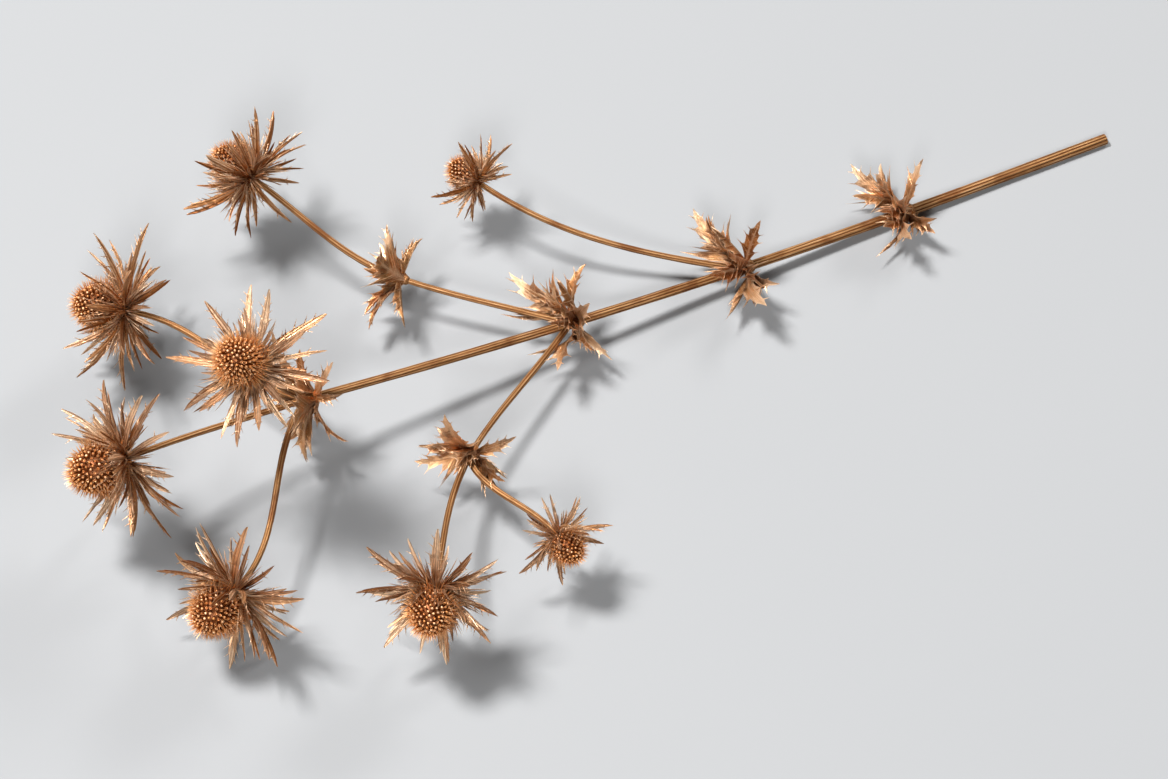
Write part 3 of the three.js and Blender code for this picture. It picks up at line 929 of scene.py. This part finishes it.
def bristleShapes(roots, upward, heights, seed, scale):
    # several three-sided needles round every bud: rings of radius * profile, then a point at the full length
    each, corners = bristles["perFloret"], 3
    roots, upward = np.repeat(roots, each, axis=0), np.repeat(upward, each, axis=0)
    n = np.arange(len(roots))
    turn = 2 * math.pi * (n % each / each + bristles["turn"] * scatter(seed + n + 0.15))
    frames = framesOn(upward)
    aside = np.cos(turn)[:, None] * frames[:, 0] + np.sin(turn)[:, None] * frames[:, 1]
    longer = np.interp(np.repeat(heights, each), *bristles["longer"])
    length = between(bristles["length"], scatter(seed + n + 0.6)) * longer * scale
    amount, inwards = bristles["lean"]
    lean = amount * (scatter(seed + n + 0.8) - inwards)[:, None]
    start = roots + aside * bristles["spread"] * scale
    forward = framesOn(unit(upward + aside * lean))
    width, share = np.array(bristles["profile"]).T
    rings = circles(width[:, None], turns(corners), 0.0).reshape(-1, 3)
    section = np.concatenate([rings, np.zeros((2, 3))]) * bristles["radius"] * scale
    rise = np.append(np.repeat(share, corners), [share[0], 1.0])[:, None] * (0, 0, 1)
    points = start[:, None] + (section + rise * length[:, None, None]) @ forward
    shade = np.append(np.repeat(bristles["shade"], corners), [bristles["shade"][0], 1.0])
    tone = between(bristles["tone"], scatter(seed + n + 0.9))[:, None]
    traits = traitTable((len(n), len(shade)), along=shade, tone=tone)
    return copies(points, *loftFaces(len(share), corners), traits)


def floretShapes(size, seed):
    # floret i of n stands on the egg at height 1 - (2 * i + 1) / n, turned by i golden angles
    count = youngHead["florets"] if isYoung(size) else dome["florets"]
    i = np.arange(count)
    heights = 1 - (2 * i + 1) / count
    directions = circles(np.sqrt(1 - heights**2), i * goldenAngle, heights)
    roots = onEgg(directions, size, dome["core"]["share"])
    lean = np.stack([scatter(seed + i + draw) for draw in (0.1, 0.2, 0.3)], axis=-1) - 0.5
    upward = unit(directions * dome["spread"] + lean * dome["lean"])
    scale = max(size, dome["leastScale"])
    return joined([budShapes(roots, upward, seed, scale), bristleShapes(roots, upward, heights, seed, scale)])


def headPlace(name):
    # on the end of the stalk, clear of it by the seat, turned so that its axis follows the stalk
    points, bases = onStalk(name, [1.0])
    return points[0] + layout["seat"] * bases[0][2], bases[0]


# each whorl is below a joint: its stalk, the joint's share along it, the way each leaf points round it in
# degrees, where 90 is up, the arc that holds its small leaves, and how far a leaf turns its face up
whorls = {
    "leaves_1": {
        **joints["low"], "leaves": (38, 92, 146),
        "length": 40, "twist": 80, "arc": (14, 168), "seed": 98,
    },
    "leaves_2": {
        **joints["middle"], "leaves": (28, 95, 154),
        "length": 42, "twist": 80, "arc": (-5, 185), "seed": 45,
    },
    "leaves_3": {
        **joints["upper"], "leaves": (16, 92, 168),
        "length": 38, "twist": 80, "arc": (-20, 200), "seed": 72, "bend": (-0.08, 0, 0.19),  # clear of stalks
    },
    "leaves_4": {
        "on": "main", "share": 1, "leaves": (30, 130, 210, 300),
        "length": 36, "twist": 30, "arc": (0, 360), "seed": 70,
    },
    "leaves_5": {
        "on": "leftArm", "share": 1, "leaves": (20, 110, 200),
        "length": 32, "twist": 30, "arc": (0, 360), "seed": 103,
    },
    "leaves_6": {
        "on": "rightArm", "share": 1, "leaves": (-20, 70, 160),
        "length": 32, "twist": 60, "arc": (0, 360), "seed": 95,
    },
}
largeLeaves = {"length": (0.88, 1.08), "rise": (46, 4), "scatter": 22, "twist": 40, "fold": (0.25, 0.5)}
smallLeaves = {
    "count": 10,
    "length": (0.45, 0.82),  # shares of the whorl's own length
    "rise": (-25, 70),
    "curl": (-55, 15),
    "twist": 120,
    "bend": 0.2,
    "fold": (0.3, 0.8),
    "spacing": 0.9,
}
sheath = {
    "height": 4.0,
    "belowJoint": 4.4,
    "leafStart": 0.4,  # how far past its inside the leaves start
    "leafFoot": 0.4,  # how far below its middle they may start, as a share of half its height
    "sides": 48,
    "wave": ((5, 0.05, 0), (13, 0.025, 1)),  # how many round, how deep and how far turned
    # its section, up the outside and down the inside: distance past the inside, share of half the height
    "section": [
        (-0.5, -1.5), (0.05, -1.2), (0.35, -0.6), (0.55, 0.0), (0.9, 0.6), (1.15, 1.0), (0.9, 1.0),
        (0.2, 0.4), (-0.3, -0.3),
    ],
    "fibre": (1, 1, 0.2),
    # its low along gives it the leaves' painted shade in the cup of the whorl
    "traits": {"along": 0.12, "edge": 0.3, "tone": 0.5},
}


def leafFeet(inside, draws):
    # the radius and heights at which leaves leave the sheath
    heights = sheath["height"] / 2 * (scatter(draws) - sheath["leafFoot"])
    return {"radius": np.full(len(draws), inside + sheath["leafStart"]), "height": heights}


def largeLeafPlaces(whorl, inside):
    # at the whorl's own angles, each swayed a little, with the faces of leaves to the side turned up
    degrees = np.array(whorl["leaves"], float)
    i = np.arange(len(degrees))
    sway = swing(largeLeaves["scatter"], degrees)
    turned = swing(largeLeaves["twist"], degrees + 1)
    return {
        **leafFeet(inside, i + whorl["length"]),
        "length": whorl["length"] * between(largeLeaves["length"], scatter(i + whorl["share"] * 100)),
        "azimuth": np.radians(degrees),
        "rise0": np.radians(largeLeaves["rise"][0] + sway),
        "rise1": np.radians(largeLeaves["rise"][1] + 2 * sway),
        "twist": np.radians(turned - whorl["twist"] * np.cos(np.radians(degrees))),
        "bend": np.zeros(len(i)) + whorl.get("bend", 0),
        "fold": between(largeLeaves["fold"], scatter(degrees + 5)),
        "phase": scatter(degrees + 6),
        "tone": scatter(degrees + 7),
    }


def smallLeafPlaces(whorl, inside):
    # leaf i of n is at the share (i + spacing * scatter) / n of the whorl's arc, which is off the ground
    i = np.arange(smallLeaves["count"])
    n = whorl["seed"] + i
    rise = between(smallLeaves["rise"], scatter(n + 41))
    return {
        **leafFeet(inside, n + 43),
        "length": whorl["length"] * between(smallLeaves["length"], scatter(n + 42)),
        "azimuth": np.radians(between(whorl["arc"], (i + smallLeaves["spacing"] * scatter(n + 44)) / len(i))),
        "rise0": np.radians(rise),
        "rise1": np.radians(rise + between(smallLeaves["curl"], scatter(n + 45))),
        "twist": np.radians(swing(smallLeaves["twist"], n + 46)),
        "bend": swing(smallLeaves["bend"], n + 47),
        "fold": between(smallLeaves["fold"], scatter(n + 48)),
        "phase": scatter(n + 49),
        "tone": scatter(n + 50),
    }


def sheathShape(inside):
    # a thin cup that clasps the joint: its closed section turned about the stalk, with the radius times
    # 1 + the sum of depth * sin(times round * angle + turn)
    out, up = np.array(sheath["section"]).T
    angle = turns(sheath["sides"])[:, None]
    rim = 1 + sum(depth * np.sin(times * angle + turned) for times, depth, turned in sheath["wave"])
    points = circles((inside + out) * rim, angle, up * sheath["height"] / 2).reshape(-1, 3)
    size = len(out)
    i, j = np.meshgrid(np.arange(sheath["sides"]), np.arange(size), indexing="ij")
    nextI, nextJ = (i + 1) % sheath["sides"], (j + 1) % size
    quads = np.stack([i * size + j, nextI * size + j, nextI * size + nextJ, i * size + nextJ], axis=-1)
    traits = traitTable(len(points), (points * sheath["fibre"]).T, **sheath["traits"])
    return {"points": points, "quads": quads.reshape(-1, 4), "tris": np.zeros((0, 3), int), "traits": traits}


def whorlShape(whorl):
    # the sheath and its leaves, put on the stalk a little below its joint
    length = stalkLength(whorl["on"])
    topEdge = whorl["share"] - (sheath["belowJoint"] - sheath["height"] / 2) / length
    inside = layout["seat"] + stalkRadius(whorl["on"], np.array([topEdge]))[0]
    large = bladeShapes(leafForm, largeLeafPlaces(whorl, inside))
    small = bladeShapes(smallLeafForm, smallLeafPlaces(whorl, inside))
    points, bases = onStalk(whorl["on"], [whorl["share"] - sheath["belowJoint"] / length])
    return placed(joined([sheathShape(inside), large, small]), points[0], bases[0])


finishes = {
    "bract_gilt": bractFinish(),
    "leaf_gilt": leafFinish(),
    "floret_copper": floretFinish(),
    "stem_gilt": stemFinish(),
}
print("finishes are mixed")

makePiece("stem_ribbed", joined([stalkShape(name) for name in stalks]), "stem_gilt", "stem")

for name, whorl in whorls.items():
    makePiece(name + "_spiny", whorlShape(whorl), "leaf_gilt", name)

for number, name in enumerate(heads, start=1):
    size, place = stalks[name]["head"], headPlace(name)
    head = f"head_{number}_"
    collar = placed(collarShape(size, 1000 * number), *place)
    makePiece(head + "collar", collar, "bract_gilt", head + "bracts")
    florets = placed(joined([coreShape(size), floretShapes(size, 100 * number)]), *place)
    makePiece(head + "dome", florets, "floret_copper", head + "florets")

stageLook = {
    "floorColours": ((0.255, 0.264, 0.275), (0.264, 0.273, 0.284)),  # a paper's faint clouds
    "floorClouds": 3.0,
    "floorRoughness": 0.85,
    "floorSize": 8.0,
    "worldColour": (0.86, 0.85, 0.84),
    "worldStrength": 0.06,
    "lampTarget": (0.05, 0, 0.03),
}
lamps = {
    "key": {"place": (1.38, -1.29, 4.08), "size": 1.0, "watts": 395, "colour": (1.0, 0.98, 0.96)},
    "fill": {"place": (1.3, 2.2, 2.4), "size": 0.9, "watts": 85, "colour": (1.0, 0.985, 0.97)},
    "back": {"place": (-2.7, -1.2, 2.3), "size": 1.0, "watts": 70, "colour": (1.0, 0.985, 0.97)},
}
view = {
    "azimuth": 156, "elevation": 58, "distance": 1.9, "lens": 118, "film": 36,
    "target": (0.031, 0.037, 0.02),
}


def addFloor():
    # a square about the origin
    half = stageLook["floorSize"] / 2
    mesh = bpy.data.meshes.new("floor")
    corners = [(-half, -half, 0), (half, -half, 0), (half, half, 0), (-half, half, 0)]
    mesh.from_pydata(corners, [], [(0, 1, 2, 3)])
    f = Finish("floorPaper", Roughness=stageLook["floorRoughness"])
    f.drive(Base_Color=f.mixed(*stageLook["floorColours"], f.speckle(stageLook["floorClouds"])))
    mesh.materials.append(f.material)
    floor = bpy.data.objects.new("floor", mesh)
    bpy.context.scene.collection.objects.link(floor)


def addWorld():
    world = bpy.data.worlds.new("studio")
    world.use_nodes = True
    background = world.node_tree.nodes["Background"]
    background.inputs["Color"].default_value = (*stageLook["worldColour"], 1)
    background.inputs["Strength"].default_value = stageLook["worldStrength"]
    bpy.context.scene.world = world


def aimed(thing, place, target):
    # at a place, turned so that it looks at its target
    thing.location = place
    thing.rotation_mode = "QUATERNION"
    thing.rotation_quaternion = (Vector(target) - Vector(place)).to_track_quat("-Z", "Y")
    bpy.context.scene.collection.objects.link(thing)
    return thing


def addLamps():
    for name, look in lamps.items():
        lamp = bpy.data.lights.new(name, "AREA")
        lamp.shape = "DISK"
        lamp.size = look["size"]
        lamp.energy = look["watts"]
        lamp.color = look["colour"]
        aimed(bpy.data.objects.new(name, lamp), look["place"], stageLook["lampTarget"])


def addCamera():
    # back from the target by the distance, along the direction that azimuth and elevation give
    a, e = math.radians(view["azimuth"]), math.radians(view["elevation"])
    back = Vector((math.sin(a) * math.cos(e), -math.cos(a) * math.cos(e), math.sin(e)))
    camera = bpy.data.cameras.new("camera")
    camera.lens = view["lens"]
    camera.sensor_width = view["film"]
    place = Vector(view["target"]) + back * view["distance"]
    bpy.context.scene.camera = aimed(bpy.data.objects.new("camera", camera), place, view["target"])


bpy.context.scene.view_settings.view_transform = "Standard"
addFloor()
addWorld()
addLamps()
addCamera()
print("floor, lamps and camera are set")
